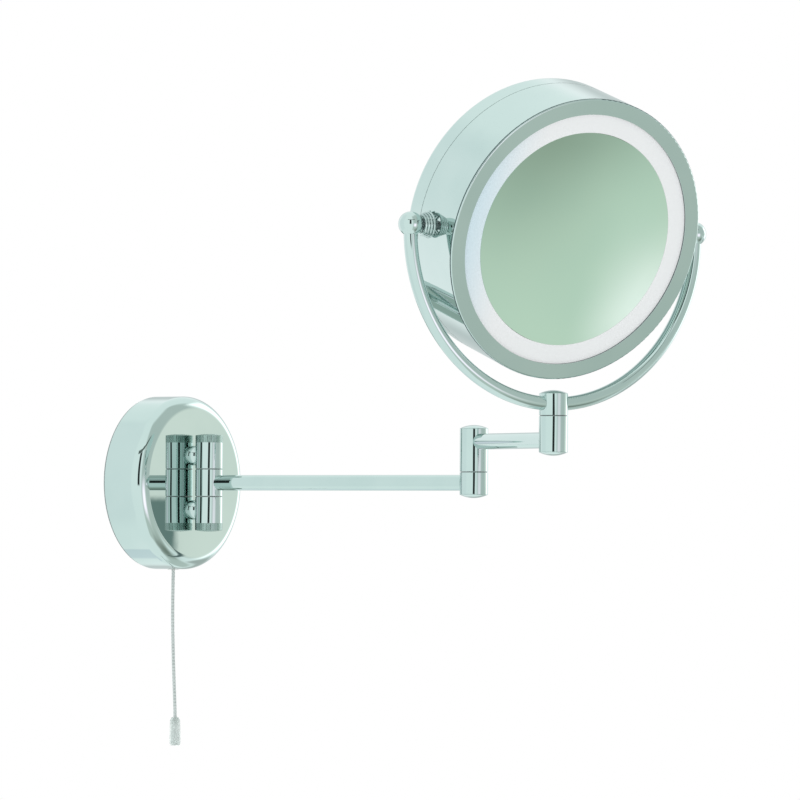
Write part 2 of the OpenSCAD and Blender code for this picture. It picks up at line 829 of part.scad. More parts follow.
module wrist_lower_barrel() color("lightcyan") {
    top = wrist_seam_z - seam / 2;
    at_link_end() difference() {
        translate([0, 0, wrist_bottom]) tube(post_r, pin_r + run_gap, top - wrist_bottom);
        translate([0, 0, wrist_bottom - cut])
            cylinder(r = cavity_r, h = wrist_cavity_top - wrist_bottom + cut);
        translate([0, 0, link_rise]) rotate([-90, 0, 0]) cylinder(r = lead_hole_r, h = post_r + cut);
    }
}

module wrist_cap_bottom() color("lightcyan") {
    at_link_end() translate([0, 0, wrist_bottom]) mirror([0, 0, 1])
        cap(post_r, dome_h, dome_h - 0.2, cavity_r - 0.1, spigot_l);
}

module short_arm_lead() color("white") {
    along_link() lead([[0, 0, elbow_lead_top + lead_end_gap], [0, 0, link_rise],
        [0, -short_arm, link_rise], [0, -short_arm, wrist_pin_low - lead_end_gap]]);
}

// ---- Yoke ----

module wrist_upper_barrel() color("lightcyan") {
    low = wrist_seam_z + seam / 2;
    at_wrist() difference() {
        translate([0, 0, low]) cylinder(r = post_r, h = wrist_top - low);
        translate([0, 0, low - cut])
            cylinder(r = pin_r + seat_gap, h = wrist_pin_top + 0.2 - low + cut);
        yoke_arc(yoke_tube_r + seat_gap);
        translate([0, 0, low]) cylinder(r = lead_hole_r, h = yoke_z - low);
    }
}

module wrist_cap_top() color("lightcyan") {
    at_wrist() translate([0, 0, wrist_top]) crowned(post_r, dome_h, dome_h - 0.2);
}

module wrist_washer() color("dimgray") {
    at_wrist() translate([0, 0, wrist_seam_z - washer_t / 2])
        tube(post_r - 0.6, pin_r + seat_gap, washer_t);
}

module wrist_pin() color("silver") {
    at_wrist() translate([0, 0, wrist_pin_low])
        tube(pin_r, pin_bore_d / 2, wrist_pin_top - wrist_pin_low);
}

module wrist_nut() color("silver") {
    at_wrist() translate([0, 0, wrist_pin_low]) hex_nut(hinge_nut_r, hinge_nut_t, pin_r + seat_gap);
}

module yoke_tube() color("lightcyan") {
    at_wrist() difference() {
        yoke_rod(yoke_tube_r, 0);
        yoke_rod(yoke_tube_r - yoke_wall, cut);
        translate([0, 0, yoke_z - yoke_d]) cylinder(r = lead_hole_r, h = yoke_d);
    }
}

module yoke_balls() color("lightcyan") {
    at_pivot() for (s = [0, 1]) mirror([s, 0, 0]) difference() {
        translate([yoke_r, 0, 0]) sphere(ball_r);
        translate([yoke_r, 0, 0]) sphere(ball_room_r);
        translate([0, 0, -pivot_z]) yoke_rod(yoke_tube_r + seat_gap, 0.2);
        translate([yoke_r - ball_d, 0, 0]) rotate([0, 90, 0])
            cylinder(r = stud_r + seat_gap, h = ball_d);
    }
}

// Hollow studs that the head tilts on, with the lead through one of them
module pivot_studs() color("silver") {
    at_pivot() for (s = [0, 1]) mirror([s, 0, 0]) translate([stud_in, 0, 0])
        rotate([0, 90, 0]) tube(stud_r, stud_bore_r, stud_out - stud_in);
}

module pivot_springs() color("silver") {
    at_pivot() for (s = [0, 1]) mirror([s, 0, 0])
        translate([spring_out - pivot_wire_d / 2, 0, 0]) rotate([0, -90, 0])
            sweep(coil(spring_turns, spring_out - spring_in - pivot_wire_d,
                spring_small_r, spring_large_r, 20), pivot_wire_d / 2, 8);
}

// Nuts inside the head with their friction washers
module pivot_nuts() color("silver") {
    at_pivot() for (s = [0, 1]) mirror([s, 0, 0])
        translate([boss_in - pivot_washer_t - pivot_nut_t, 0, 0]) rotate([0, 90, 0]) {
            hex_nut(pivot_nut_r, pivot_nut_t, stud_r + seat_gap);
            translate([0, 0, pivot_nut_t])
                tube(pivot_nut_r, stud_r + seat_gap, pivot_washer_t - face_gap);
        }
}

module yoke_lead() color("white") {
    at_wrist() sweep(concat(
        [[0, 0, wrist_pin_low], [0, 0, yoke_z - 4], [0, 0, yoke_z - 2], [-1, 0, yoke_z - 0.5]],
        [for (a = [268:-4:180]) [yoke_r * cos(a), 0, arc_z + yoke_r * sin(a)]],
        [[-yoke_r, 0, pivot_z - 2.6], [-yoke_r + 0.7, 0, pivot_z - 0.8],
         [-yoke_r + 3, 0, pivot_z], [-stud_in, 0, pivot_z]]), lead_r, lead_sides);
}

// ---- Head ----

module head_casing() color("lightcyan") {
    in_head() difference() {
        union() {
            head_ring() translate([head_inner_r, casing_front])
                square([head_wall, casing_back - casing_front]);
            head_ring() translate([head_inner_r - shelf_w, carrier_back + seat_gap])
                square([shelf_w + head_wall / 2, shelf_t]);
            for (s = [0, 1]) mirror([s, 0, 0]) translate([boss_in, 0, 0])
                rotate([0, 90, 0]) cylinder(r = boss_r, h = head_inner_r - boss_in + head_wall / 3);
            for (a = rear_posts) rotate([0, a, 0]) translate([post_ring_r, 0, 0])
                rear_post_body();
        }
        for (s = [0, 1]) mirror([s, 0, 0]) translate([boss_in - cut, 0, 0])
            rotate([0, 90, 0]) cylinder(r = stud_r + run_gap, h = head_r);
        for (a = rear_posts) rotate([0, a, 0])
            translate([post_ring_r, head_back - rear_screw_l - 2, 0])
                rotate([-90, 0, 0]) cylinder(r = rear_screw_r + seat_gap, h = rear_screw_l + 4);
    }
}

// Pillar that the rear cover is screwed to, tied to the side wall by a rib
module rear_post_body() {
    length = head_back - head_wall - seat_gap - carrier_back - shelf_t / 2;
    translate([0, carrier_back + shelf_t / 2, 0]) {
        rotate([-90, 0, 0]) cylinder(r = rear_post_r, h = length);
        translate([0, 0, -1]) cube([head_inner_r - post_ring_r + head_wall / 2, casing_back
            - carrier_back - shelf_t / 2 - 6, 2]);
    }
}

module front_bezel() color("lightcyan") {
    skirt_r = head_inner_r - seat_gap - 0.05;
    in_head() head_ring() union() {
        difference() {
            translate([0, head_front]) mirror([0, 1]) translate([0, -bezel_t])
                rounded_section(head_r, bezel_t, bezel_edge_r);
            translate([0, head_front - cut]) square([light_r, bezel_t + 2 * cut]);
        }
        translate([skirt_r - skirt_t, head_front + bezel_t - 0.3])
            square([skirt_t, skirt_l + 0.3]);
    }
}

module rear_cover() color("lightcyan") {
    spigot_front = casing_back - 4;
    in_head() difference() {
        head_ring() union() {
            translate([0, casing_back + seal_t]) difference() {
                rounded_section(head_r, rear_cover_depth - seal_t, rear_edge_r);
                translate([0, -cut]) rounded_section(head_inner_r,
                    rear_cover_depth - seal_t - head_wall + cut, rear_edge_r - head_wall);
            }
            translate([head_inner_r - 1.2, spigot_front]) square([1.1, 6]);
            translate([head_inner_r - 1.2, casing_back + 1]) square([1.2 + head_wall / 2, 1]);
        }
        for (a = rear_posts) rotate([0, a, 0])
            translate([post_ring_r, head_back - head_wall - cut, 0]) rotate([-90, 0, 0])
                cylinder(r = rear_screw_r + seat_gap, h = head_wall + 2 * cut);
    }
}

module rear_cover_screws() color("silver") {
    in_head() for (a = rear_posts) rotate([0, a, 0])
        translate([post_ring_r, head_back, 0]) rotate([-90, 0, 0])
            pan_screw(rear_screw_r, rear_screw_l, rear_screw_head_r, rear_screw_head_h);
}

module rear_seal() color("dimgray") {
    in_head() head_ring() translate([head_inner_r, casing_back])
        square([head_wall - seal_inset, seal_t]);
}

module light_diffuser() color("white") {
    in_head() head_ring() translate([glass_r + glass_gap, diffuser_front])
        square([diffuser_r - glass_r - glass_gap, diffuser_t]);
}

module magnifying_mirror() color("lightsteelblue") {
    centre_front = diffuser_front + glass_sag - glass_curve_r;
    in_head() difference() {
        head_ring() translate([0, diffuser_front]) square([glass_r, glass_t + glass_sag]);
        translate([0, centre_front, 0]) sphere(glass_curve_r, $fn = 256);
        difference() {
            head_ring() translate([0, diffuser_front])
                square([glass_r + cut, glass_t + glass_sag + cut]);
            translate([0, centre_front + glass_t, 0]) sphere(glass_curve_r, $fn = 256);
        }
    }
}

module mirror_pad() color("dimgray") {
    in_head() head_ring() translate([pad_r - carrier_ring_t, pad_back - pad_t])
        square([carrier_ring_t, pad_t]);
}

module mirror_carrier() color("whitesmoke") {
    in_head() difference() {
        head_ring() union() {
            translate([0, carrier_front]) square([carrier_r, carrier_t]);
            translate([carrier_ring_r - carrier_ring_t, pad_back])
                square([carrier_ring_t, carrier_back - pad_back]);
        }
        translate([-led_r, 0, 0]) rotate([90, 0, 0]) cylinder(r = lead_hole_r, h = head_depth);
    }
}

module led_board() color("white") {
    in_head() head_ring() translate([board_in_r, carrier_front - board_t])
        square([board_out_r - board_in_r, board_t]);
}

module leds() color("lightyellow") {
    in_head() for (i = [0:led_count - 1]) rotate([0, 360 * (i + 0.5) / led_count, 0])
        translate([led_r - led.x / 2, carrier_front - board_t - led.z, -led.y / 2])
            cube([led.x, led.z, led.y]);
}

module head_lead() color("white") {
    in_head() lead([[-stud_in + lead_end_gap, 0, 0], [-led_r, 0, 0], [-led_r, carrier_front, 0]]);
}

mounting_plate();
wall_gasket();
wall_cover();
cover_screws();
arm_strap();
base_screws();
cable_grommet();
terminal_block();
terminal_screws();
led_driver();
base_wiring();
switch_housing();
switch_spring();
cord_bush();
shoulder_knuckles();
stub_collars();
stub_nuts();
shoulder_pin();
shoulder_caps();
switch_plunger();
pull_cord();
pull_knob();
shoulder_barrel();
shoulder_washers();
long_arm_tube();
elbow_lower_barrel();
elbow_cap_bottom();
elbow_pin();
elbow_nut();
long_arm_lead();
elbow_upper_barrel();
elbow_cap_top();
elbow_washer();
short_arm_tube();
wrist_lower_barrel();
wrist_cap_bottom();
short_arm_lead();
wrist_upper_barrel();
wrist_cap_top();
wrist_washer();
wrist_pin();
wrist_nut();
yoke_tube();
yoke_balls();
pivot_studs();
pivot_springs();
pivot_nuts();
yoke_lead();
head_casing();
front_bezel();
rear_cover();
rear_cover_screws();
rear_seal();
light_diffuser();
magnifying_mirror();
mirror_pad();
mirror_carrier();
led_board();
leds();
head_lead();
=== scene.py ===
import json
from math import cos, pi, radians, sin
import bpy
from mathutils import Matrix, Vector


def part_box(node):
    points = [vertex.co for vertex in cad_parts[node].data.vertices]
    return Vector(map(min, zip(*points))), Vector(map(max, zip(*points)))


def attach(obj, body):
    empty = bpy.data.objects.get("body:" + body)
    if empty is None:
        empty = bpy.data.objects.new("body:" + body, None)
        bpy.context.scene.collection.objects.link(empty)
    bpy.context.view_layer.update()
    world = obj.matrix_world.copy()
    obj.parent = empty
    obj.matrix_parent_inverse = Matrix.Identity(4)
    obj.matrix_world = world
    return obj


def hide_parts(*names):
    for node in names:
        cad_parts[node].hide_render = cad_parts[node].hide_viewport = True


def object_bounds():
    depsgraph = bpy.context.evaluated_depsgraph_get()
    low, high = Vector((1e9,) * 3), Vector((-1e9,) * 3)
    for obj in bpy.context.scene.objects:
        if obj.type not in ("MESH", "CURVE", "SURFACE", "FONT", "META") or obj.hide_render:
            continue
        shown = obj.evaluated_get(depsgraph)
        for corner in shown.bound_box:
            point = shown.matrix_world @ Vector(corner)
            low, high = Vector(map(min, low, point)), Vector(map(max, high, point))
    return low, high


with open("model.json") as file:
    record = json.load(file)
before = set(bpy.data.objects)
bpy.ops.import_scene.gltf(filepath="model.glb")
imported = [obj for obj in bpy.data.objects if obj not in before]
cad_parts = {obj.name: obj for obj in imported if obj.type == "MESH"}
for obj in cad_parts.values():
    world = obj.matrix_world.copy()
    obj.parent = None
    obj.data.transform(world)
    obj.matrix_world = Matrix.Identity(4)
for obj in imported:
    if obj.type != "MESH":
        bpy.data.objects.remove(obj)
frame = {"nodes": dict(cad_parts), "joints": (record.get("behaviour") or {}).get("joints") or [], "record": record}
nodes = frame["nodes"]
joints = {j["name"]: j for j in frame["joints"]}
cadLow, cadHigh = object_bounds()
print("frame loaded:", len(nodes), "nodes")

# the camera stands level with the arm, off to the left, far back with a long lens
cameraSet = {"azimuth": -54.713, "elevation": -1.207, "roll": 0.315, "distance": 4.5,
             "lens": 283.34, "sensor": 36, "farClip": 60, "aim": (0.0130, -0.2088, 0.0593)}


def makeCamera(c):
    az, el = radians(c["azimuth"]), radians(c["elevation"])
    back = Vector((sin(az) * cos(el), -cos(az) * cos(el), sin(el)))
    level = Vector((cos(az), sin(az), 0))
    up = back.cross(level)
    roll = radians(c["roll"])
    right = level * cos(roll) + up * sin(roll)
    data = bpy.data.cameras.new("studioCamera")
    data.sensor_width = c["sensor"]
    data.lens = c["lens"]
    data.clip_end = c["farClip"]
    camera = bpy.data.objects.new("studioCamera", data)
    bpy.context.scene.collection.objects.link(camera)
    turn = Matrix((right, back.cross(right), back)).transposed().to_4x4()
    camera.matrix_world = Matrix.Translation(Vector(c["aim"]) + back * c["distance"]) @ turn
    bpy.context.scene.camera = camera


makeCamera(cameraSet)


def mm(*values):
    return Vector([v / 1000 for v in values])


def addObject(name, data):
    obj = bpy.data.objects.new(name, data)
    bpy.context.scene.collection.objects.link(obj)
    return obj


def addMesh(name, points, faces):
    mesh = bpy.data.meshes.new(name)
    mesh.from_pydata([tuple(p) for p in points], [], faces)
    mesh.validate()
    mesh.shade_smooth()
    return addObject(name, mesh)


# a round cord or strand drawn as one open curve through its points
def addStrand(name, points, diameter):
    curve = bpy.data.curves.new(name, "CURVE")
    curve.dimensions = "3D"
    curve.bevel_depth = 1  # each point carries the strand's own radius
    curve.bevel_resolution = 5
    curve.use_fill_caps = True
    line = curve.splines.new("POLY")
    line.points.add(len(points) - 1)
    for spot, p in zip(line.points, points):
        spot.co = (*p, 1)
        spot.radius = diameter / 2
    line.use_smooth = True
    return addObject(name, curve)


# the outline is (radius, height) from the bottom up the outside; the first and last lie on the axis
def lathe(name, outline, centre, sides=64):
    points, rings = [], []
    for r, z in outline:
        if r == 0:
            rings.append([len(points)])
            points.append(centre + Vector((0, 0, z)))
            continue
        rings.append(list(range(len(points), len(points) + sides)))
        for k in range(sides):
            a = 2 * pi * k / sides
            points.append(centre + Vector((r * cos(a), r * sin(a), z)))
    faces = []
    for low, high in zip(rings, rings[1:]):
        for k in range(sides):
            n = (k + 1) % sides
            quad = [low[k % len(low)], low[n % len(low)], high[n % len(high)], high[k % len(high)]]
            faces.append(list(dict.fromkeys(quad)))
    return addMesh(name, points, faces)


# pull cord: from the switch plunger straight down out of the cover and into the knob
pullCordSet = {
    "diameter": 0.0024,
    "length": 0.1200,
    "route": [(0, -16, -55), (0, -16, -60), (0, -16, -66), (0, -15.9, -72), (0, -15.8, -78),
              (0, -15.7, -84), (0, -15.7, -90), (0, -15.7, -96), (0, -15.8, -102), (0, -15.9, -108),
              (0, -16.1, -114), (0, -16.3, -120), (0, -16.5, -126), (0, -16.7, -132), (0, -17, -138),
              (0, -17.3, -144), (0, -17.6, -150), (0, -17.9, -156), (0, -18.2, -162), (0, -18.4, -167),
              (0, -18.5, -171), (0, -18.5, -175)],
    "tail": [(0.9, -17.2, -160.5), (1.2, -17.3, -162.5), (1.3, -17.5, -165), (1.2, -17.8, -167.5),
             (0.8, -18.1, -170), (0.5, -18.3, -172.5)],
    "tailDiameter": 0.0013,
}


def makePullCord(c):
    cord = addStrand("pullCord", [mm(*p) for p in c["route"]], c["diameter"])
    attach(cord, "pull")
    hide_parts("pull_cord")
    tail = addStrand("knotTail", [mm(*p) for p in c["tail"]], c["tailDiameter"])
    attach(tail, "pull")
    return cord, tail


# clear knob: narrow shoulder, a body that widens downwards, chamfered foot, bore for the cord
knobSet = {"radius": 4.0, "length": 20.5, "shoulder": 2.2, "shoulderIn": 1.6, "taper": 0.3,
           "foot": 1.6, "footIn": 0.8, "bore": 1.5, "boreLength": 5, "round": 0.35, "straightPart": 0.3}


def roundCorners(outline, r, steps=4):
    soft = [outline[0]]
    for before, corner, after in zip(outline, outline[1:], outline[2:]):
        a, b, c = Vector(before), Vector(corner), Vector(after)
        reach = min(r, (a - b).length * 0.45, (c - b).length * 0.45)
        start, end = b + (a - b).normalized() * reach, b + (c - b).normalized() * reach
        for i in range(steps + 1):
            t = i / steps
            soft.append(tuple(start * (1 - t) ** 2 + b * (2 * t * (1 - t)) + end * t ** 2))
    return soft + [outline[-1]]


def makeKnob(k):
    low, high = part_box("pull_knob")
    r, top = k["radius"], k["length"]
    outline = [(0, 0), (r - k["footIn"], 0), (r, k["foot"]), (r, top * k["straightPart"]),
               (r - k["taper"], top - k["shoulder"]), (r - k["shoulderIn"], top), (k["bore"], top),
               (k["bore"], top - k["boreLength"]), (0, top - k["boreLength"])]
    outline = [(x / 1000, z / 1000) for x, z in roundCorners(outline, k["round"])]
    centre = Vector(((low[0] + high[0]) / 2, (low[1] + high[1]) / 2, low[2]))
    knob = lathe("clearKnob", outline, centre)
    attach(knob, "pull")
    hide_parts("pull_knob")
    return knob


pullCord, knotTail = makePullCord(pullCordSet)
clearKnob = makeKnob(knobSet)
print("pull cord and knob made")

# conical springs between the yoke's balls and the head
springSet = {"turns": 4, "wire": 0.8, "ballRadius": 6.6, "headRadius": 8.9, "ballEnd": 108.9,
             "headEnd": 101.4, "stepsPerTurn": 40, "sides": 14}


def makePivotSprings(s):
    pivot = Vector(joints["head_tilt"]["pos_m"])
    out = Vector(joints["head_tilt"]["axis"]).normalized()
    up = Vector((0, 0, 1))
    made = []
    for name, side in (("pivotSpringRight", 1), ("pivotSpringLeft", -1)):
        axis = out * side
        across = up.cross(axis)
        steps = s["turns"] * s["stepsPerTurn"]
        path = []
        for i in range(steps + 1):
            t = i / steps
            a = 2 * pi * i / s["stepsPerTurn"]
            r = s["ballRadius"] + (s["headRadius"] - s["ballRadius"]) * t
            along = s["ballEnd"] + (s["headEnd"] - s["ballEnd"]) * t
            path.append(pivot + (axis * along + up * (r * cos(a)) + across * (r * sin(a))) / 1000)
        points, faces = [], []
        for i, p in enumerate(path):
            ahead = (path[min(i + 1, steps)] - path[max(i - 1, 0)]).normalized()
            outward = (p - pivot - axis * (p - pivot).dot(axis)).normalized()
            other = ahead.cross(outward)
            for k in range(s["sides"]):
                a = 2 * pi * k / s["sides"]
                points.append(p + (outward * cos(a) + other * sin(a)) * s["wire"] / 1000)
        n = s["sides"]
        for i in range(steps):
            for k in range(n):
                m = (k + 1) % n
                faces.append([i * n + k, i * n + m, (i + 1) * n + m, (i + 1) * n + k])
        faces.append(list(range(n - 1, -1, -1)))
        faces.append(list(range(steps * n, steps * n + n)))
        spring = addMesh(name, points, faces)
        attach(spring, "yoke")
        made.append(spring)
    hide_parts("pivot_springs")
    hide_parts("pivot_springs")
    return made


pivotSprings = makePivotSprings(springSet)
print("pivot springs made")


# materials are built from a few short node helpers
noiseSpan = (0.3, 0.7)  # the part of a noise's range that is stretched out
tightSpan = (0.35, 0.65)
fineDepth = 0.0001  # bump depth of grain and other fine marks


class Nodes:
    def __init__(self, tree):
        self.tree = tree

    def add(self, kind, **settings):
        made = self.tree.nodes.new(kind)
        for key, value in settings.items():
            setattr(made, key, value)
        return made

    def feed(self, socket, value):
        if isinstance(value, bpy.types.NodeSocket):
            self.tree.links.new(value, socket)
        else:
            socket.default_value = value

    def math(self, operation, a, b=0.0, c=0.0):
        made = self.add("ShaderNodeMath", operation=operation)
        for socket, value in zip(made.inputs, (a, b, c)):
            self.feed(socket, value)
        return made.outputs[0]

    def ramp(self, value, low, high, toLow=0.0, toHigh=1.0):
        made = self.add("ShaderNodeMapRange", interpolation_type="SMOOTHSTEP")
        for socket, v in zip(made.inputs, (value, low, high, toLow, toHigh)):
            self.feed(socket, v)
        return made.outputs[0]

    def spread(self, noise, ends=(0.0, 1.0), span=noiseSpan):
        return self.ramp(noise, *span, *ends)

    def mix(self, factor, a, b):
        made = self.add("ShaderNodeMix", data_type="RGBA")
        self.feed(made.inputs[0], factor)
        self.feed(made.inputs[6], a)
        self.feed(made.inputs[7], b)
        return made.outputs[2]

    def scale(self, value, by):
        made = self.add("ShaderNodeVectorMath", operation="SCALE")
        self.feed(made.inputs[0], value)
        self.feed(made.inputs["Scale"], by)
        return made.outputs[0]

    def dot(self, where, along):
        made = self.add("ShaderNodeVectorMath", operation="DOT_PRODUCT")
        self.feed(made.inputs[0], where)
        made.inputs[1].default_value = along
        return made.outputs["Value"]

    def noise(self, where, scale, detail):
        made = self.add("ShaderNodeTexNoise")
        self.feed(made.inputs["Vector"], where)
        self.feed(made.inputs["Scale"], scale)
        self.feed(made.inputs["Detail"], detail)
        return made.outputs[0]

    def place(self):
        return self.add("ShaderNodeTexCoord").outputs["Object"]

    def stretch(self, where, scale):
        made = self.add("ShaderNodeMapping")
        self.feed(made.inputs["Vector"], where)
        made.inputs["Scale"].default_value = scale
        return made.outputs[0]

    def split(self, where):
        made = self.add("ShaderNodeSeparateXYZ")
        self.feed(made.inputs[0], where)
        return made.outputs

    # the three sockets of a Principled shader that nearly every finish sets
    def paint(self, shader, factor, one, other):
        self.feed(shader.inputs["Base Color"], self.mix(factor, colour(*one), colour(*other)))

    def polish(self, shader, noise, rough):
        self.feed(shader.inputs["Roughness"], self.spread(noise, rough))

    def emboss(self, shader, height, strength, depth=fineDepth):
        made = self.add("ShaderNodeBump")
        self.feed(made.inputs["Strength"], strength)
        self.feed(made.inputs["Distance"], depth)
        self.feed(made.inputs["Height"], height)
        self.feed(shader.inputs["Normal"], made.outputs[0])


def colour(r, g, b):
    return (r, g, b, 1)


def newMaterial(name, metallic=0):
    material = bpy.data.materials.new(name)
    material.use_nodes = True
    shader = material.node_tree.nodes["Principled BSDF"]
    shader.inputs["Metallic"].default_value = metallic
    return material, Nodes(material.node_tree), shader


# polished chrome: tinted mirror metal, faintly cloudy, with a hair of ripple from the polishing wheel
chromeSet = {"tint": (0.565, 0.665, 0.645), "deepTint": (0.535, 0.64, 0.62), "rough": (0.015, 0.04),
             "cloud": 18, "haze": 108, "rippleScale": 60, "ripple": 0.04, "rippleDepth": 0.0003}


def chromeMaterial(name, c, **change):
    c = {**c, **change}
    material, n, shader = newMaterial(name, metallic=1)
    where = n.place()
    cloud = n.noise(where, c["cloud"], 4)
    n.paint(shader, n.spread(cloud, span=tightSpan), c["tint"], c["deepTint"])
    n.polish(shader, n.noise(where, c["haze"], 5), c["rough"])
    n.emboss(shader, n.noise(where, c["rippleScale"], 2), c["ripple"], c["rippleDepth"])
    return material


# the bezel's side wall is tinted dark, a painted shadow of the gap between bezel and casing, from edge (mm) behind
# the front on;
# turn and tilt say which way the head faces at rest
bezelSet = {"turn": -23, "tilt": 17.5, "front": 29, "edge": 0.5, "blur": 0.0001,
            "dark": (0.10, 0.14, 0.14), "shadowBandRough": 0.3}


def bezelMaterial(b, c):
    material, n, shader = newMaterial("bezelChrome", metallic=1)
    where = n.place()
    turn, tilt = radians(b["turn"]), radians(b["tilt"])
    ahead = Vector((sin(turn) * cos(tilt), -cos(turn) * cos(tilt), -sin(tilt)))
    front = Vector(joints["head_tilt"]["pos_m"]).dot(ahead) + (b["front"] - b["edge"]) / 1000
    wall = n.ramp(n.dot(where, ahead), front - b["blur"], front, 1, 0)
    cloud = n.spread(n.noise(where, c["cloud"], 4), span=tightSpan)
    bright = n.mix(cloud, colour(*c["tint"]), colour(*c["deepTint"]))
    # painted shadow: past the edge the chrome tint gives way to the dark colour of the shadow gap
    n.feed(shader.inputs["Base Color"], n.mix(wall, bright, colour(*b["dark"])))
    n.feed(shader.inputs["Roughness"], n.ramp(wall, 0, 1, c["rough"][1], b["shadowBandRough"]))
    return material


# satin chrome caps: fine upright knurling around each cap, with a mottled grip surface
knurlSet = {"teeth": 56, "depth": 0.35, "rough": (0.16, 0.24), "tint": (0.34, 0.46, 0.42),
            "dark": (0.31, 0.42, 0.39), "speck": 900, "speckSpan": (0.35, 0.62)}


def knurledMaterial(k):
    material, n, shader = newMaterial("knurledChrome", metallic=1)
    where = n.place()
    low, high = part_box("shoulder_caps")
    x, y = n.split(where)[0:2]
    around = n.math("ARCTAN2", n.math("SUBTRACT", y, (low[1] + high[1]) / 2),
                    n.math("SUBTRACT", x, (low[0] + high[0]) / 2))
    teeth = n.math("SINE", n.math("MULTIPLY", around, k["teeth"]))
    speck = n.noise(where, k["speck"], 3)
    n.paint(shader, n.spread(speck, span=k["speckSpan"]), k["dark"], k["tint"])
    n.polish(shader, speck, k["rough"])
    n.emboss(shader, teeth, k["depth"])
    return material


# zinc plated steel: brushed along one way, patchy in tone
platedSet = {"light": (0.62, 0.64, 0.65), "dark": (0.42, 0.45, 0.47), "rough": (0.22, 0.42),
             "patch": 60, "grain": 500, "brushing": (1, 1, 12), "depth": 0.15}


def platedMaterial(p):
    material, n, shader = newMaterial("platedSteel", metallic=1)
    where = n.place()
    grain = n.noise(n.stretch(where, p["brushing"]), p["grain"], 3)
    n.paint(shader, n.spread(n.noise(where, p["patch"], 4)), p["dark"], p["light"])
    n.polish(shader, grain, p["rough"])
    n.emboss(shader, grain, p["depth"])
    return material


# bright metals whose tone and gloss drift together: drawn spring wire, turned brass, silvered glass
metalSets = {
    "spring_steel": {"name": "springWire", "tones": ((0.36, 0.44, 0.43), (0.62, 0.72, 0.70)),
                     "rough": (0.05, 0.10), "scale": 120, "detail": 2},
    "brass": {"name": "turnedBrass", "tones": ((0.55, 0.36, 0.14), (0.80, 0.58, 0.26)),
              "rough": (0.2, 0.38), "scale": 400, "detail": 4},
    "mirror_glass": {"name": "silveredGlass", "tones": ((0.66, 0.83, 0.70), (0.62, 0.80, 0.68)),
                     "rough": (0.0, 0.012), "scale": 9, "detail": 2},
}


def metalMaterial(m):
    material, n, shader = newMaterial(m["name"], metallic=1)
    mottle = n.noise(n.place(), m["scale"], m["detail"])
    n.paint(shader, n.spread(mottle), *m["tones"])
    n.polish(shader, mottle, m["rough"])
    return material


# frosted light ring: glows evenly; its left side carries painted cool light, warmer elsewhere
diffuserSet = {"warm": (0.88, 0.87, 0.88), "paintedCoolLight": (0.66, 0.79, 0.86), "paintedCoolEdge": (0.004, 0.05),
               "glow": 0.42, "shade": 0.62, "rough": 0.5, "grain": (0.97, 1.0), "grainScale": 1500,
               "pitScale": 2500, "pits": 0.1}


def diffuserMaterial(d):
    material, n, shader = newMaterial("frostedDiffuser")
    where = n.place()
    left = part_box("light_diffuser")[0][0]
    start, end = d["paintedCoolEdge"]
    # painted cool light on the left side, in both the colour and the glow
    side = n.ramp(n.split(where)[0], left + start, left + end, 1, 0)
    grain = n.spread(n.noise(where, d["grainScale"], 2), d["grain"])
    tint = n.mix(side, colour(*d["warm"]), colour(*d["paintedCoolLight"]))
    n.feed(shader.inputs["Base Color"], n.scale(tint, n.math("MULTIPLY", grain, d["shade"])))
    n.feed(shader.inputs["Emission Color"], tint)
    shader.inputs["Emission Strength"].default_value = d["glow"]
    shader.inputs["Roughness"].default_value = d["rough"]
    n.emboss(shader, n.noise(where, d["pitScale"], 2), d["pits"])
    return material


# moulded plastics share a fine spark-eroded texture
plasticSets = {
    "white_plastic": {"base": (0.80, 0.80, 0.77), "vary": (0.72, 0.72, 0.69),
                      "rough": (0.35, 0.5), "grain": 900},
    "nylon": {"base": (0.25, 0.27, 0.27), "vary": (0.30, 0.32, 0.32),
              "rough": (0.4, 0.55), "grain": 1200},
    "rubber": {"base": (0.018, 0.018, 0.02), "vary": (0.04, 0.04, 0.042),
               "rough": (0.6, 0.85), "grain": 700},
    "circuit_board": {"base": (0.78, 0.81, 0.78), "vary": (0.66, 0.72, 0.68),
                      "rough": (0.25, 0.4), "grain": 300},
    "led": {"base": (0.92, 0.82, 0.34), "vary": (0.95, 0.90, 0.60),
            "rough": (0.2, 0.35), "grain": 800},
    "cable_jacket": {"base": (0.74, 0.74, 0.71), "vary": (0.66, 0.66, 0.63),
                     "rough": (0.4, 0.6), "grain": 600},
}
sealSet = {"base": (0.30, 0.33, 0.33), "vary": (0.36, 0.39, 0.39), "rough": (0.5, 0.7), "grain": 900}
cloudsPerGrain = 1 / 12
sparkDepth = 0.12


def plasticMaterial(name, p):
    material, n, shader = newMaterial(name)
    where = n.place()
    grain = n.noise(where, p["grain"], 3)
    n.paint(shader, n.spread(n.noise(where, p["grain"] * cloudsPerGrain, 4)), p["base"], p["vary"])
    n.polish(shader, grain, p["rough"])
    n.emboss(shader, grain, sparkDepth)
    return material


# braided nylon: two sets of slanting strands that cross around the cord, with painted shade darkening the grooves
# between them
cordSet = {"light": (0.70, 0.72, 0.71), "paintedGrooveShade": (0.52, 0.54, 0.53), "paintedGrooveSpan": (-0.2, 0.8),
           "pitch": 2600, "rough": 0.6, "sheen": 0.2, "depth": 0.2}


